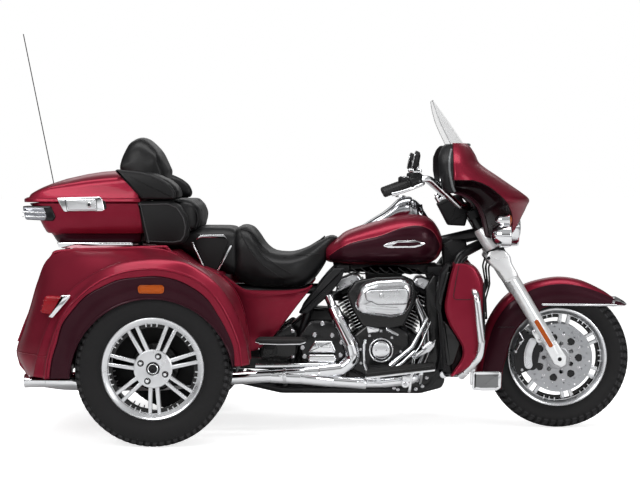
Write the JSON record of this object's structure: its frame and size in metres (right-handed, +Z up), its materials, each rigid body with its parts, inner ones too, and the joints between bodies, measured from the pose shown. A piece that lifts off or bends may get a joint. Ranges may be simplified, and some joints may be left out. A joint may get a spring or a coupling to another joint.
{
  "type": "touring trike",
  "caption": "Full-dress motor trike: steered front wheel with fairing, V engine, two seats, rear wheels beside a trunk, lidded tour box.",
  "frame": {"origin": "on the ground under the middle of the overall length and width", "axes": "+X forward, +Y to the rider's left, +Z up"},
  "size_m": [2.6742, 1.416, 1.7184],
  "materials": {
    "black_matte": "satin black moulding",
    "black_paint": "gloss black powder coat",
    "body_red": "deep metallic red under clear coat",
    "cast_silver": "machined and painted silver casting",
    "chrome": "bright chrome plate",
    "clear": "clear screen",
    "leather": "black seat leather",
    "lens_red": "red lamp lens",
    "rubber": "ribbed black rubber",
    "steel": "ground brake steel",
    "tyre": "black tyre rubber"
  },
  "bodies": {
    "chassis": {"frame": "black_paint", "engine_case": "black_paint", "cylinders": "black_paint", "rocker_covers": "chrome", "primary_cover": "black_paint", "cam_cover": "chrome", "air_cleaner": "chrome", "exhaust": "chrome", "fuel_tank": "body_red", "tank_console": "chrome", "rider_seat": "leather", "pillion_seat": "leather", "frame_covers": "black_matte", "side_panels": "body_red", "engine_guard": "chrome", "lower_fairings": "body_red", "radiators": "black_matte", "rider_boards": "rubber", "pillion_boards": "rubber", "foot_controls": "chrome", "trunk_body": "body_red", "valance": "body_red", "rear_fender_left": "body_red", "rear_fender_right": "body_red", "tail_lamps": "lens_red", "rear_axle": "black_paint", "swing_frame": "black_paint", "tour_box": "body_red", "speaker_pods": "black_matte", "lumbar_pad": "leather", "tour_rack": "chrome", "corner_lamps": "lens_red", "aerial": "black_paint"},
    "steering": {"front_axle": "chrome", "fork_sliders": "chrome", "fork_crown": "chrome", "front_brake_calipers": "black_paint", "front_fender": "body_red", "handlebar": "chrome", "grips": "rubber", "hand_controls": "black_matte", "fairing_outer": "body_red", "fairing_inner": "black_matte", "windshield": "clear", "headlamp": "chrome", "lamp_bar": "chrome"},
    "front_wheel": {"front_tyre": "tyre", "front_rim": "cast_silver", "front_brake_discs": "steel"},
    "rear_wheel_right": {"rear_tyre_right": "tyre", "rear_rim_right": "cast_silver"},
    "rear_wheel_left": {"rear_tyre_left": "tyre", "rear_rim_left": "cast_silver"},
    "tour_lid": {"tour_lid": "body_red", "backrest": "leather"},
    "trunk_door": {"trunk_door": "body_red"}
  },
  "joints": [
    {"name": "steering", "type": "hinge", "parent": "chassis", "child": "steering", "pos_m": [0.75914, 0, 0.76038], "axis": [-0.4384, 0, 0.8988], "range_deg": [-30, 30]},
    {"name": "front_wheel_spin", "type": "hinge", "parent": "steering", "child": "front_wheel", "pos_m": [1.031, 0, 0.305], "axis": [0, 1, 0], "continuous": true},
    {"name": "rear_wheel_right_spin", "type": "hinge", "parent": "chassis", "child": "rear_wheel_right", "pos_m": [-0.639, -0.572, 0.313], "axis": [0, 1, 0], "continuous": true},
    {"name": "rear_wheel_left_spin", "type": "hinge", "parent": "chassis", "child": "rear_wheel_left", "pos_m": [-0.639, 0.572, 0.313], "axis": [0, 1, 0], "continuous": true},
    {"name": "tour_lid_hinge", "type": "hinge", "parent": "chassis", "child": "tour_lid", "pos_m": [-0.928, 0.34, 0.969], "axis": [-1, 0, 0], "range_deg": [0, 70]},
    {"name": "trunk_door_hinge", "type": "hinge", "parent": "chassis", "child": "trunk_door", "pos_m": [-1.222, 0, 0.444], "axis": [0, -1, 0], "range_deg": [0, 85]}
  ]
}
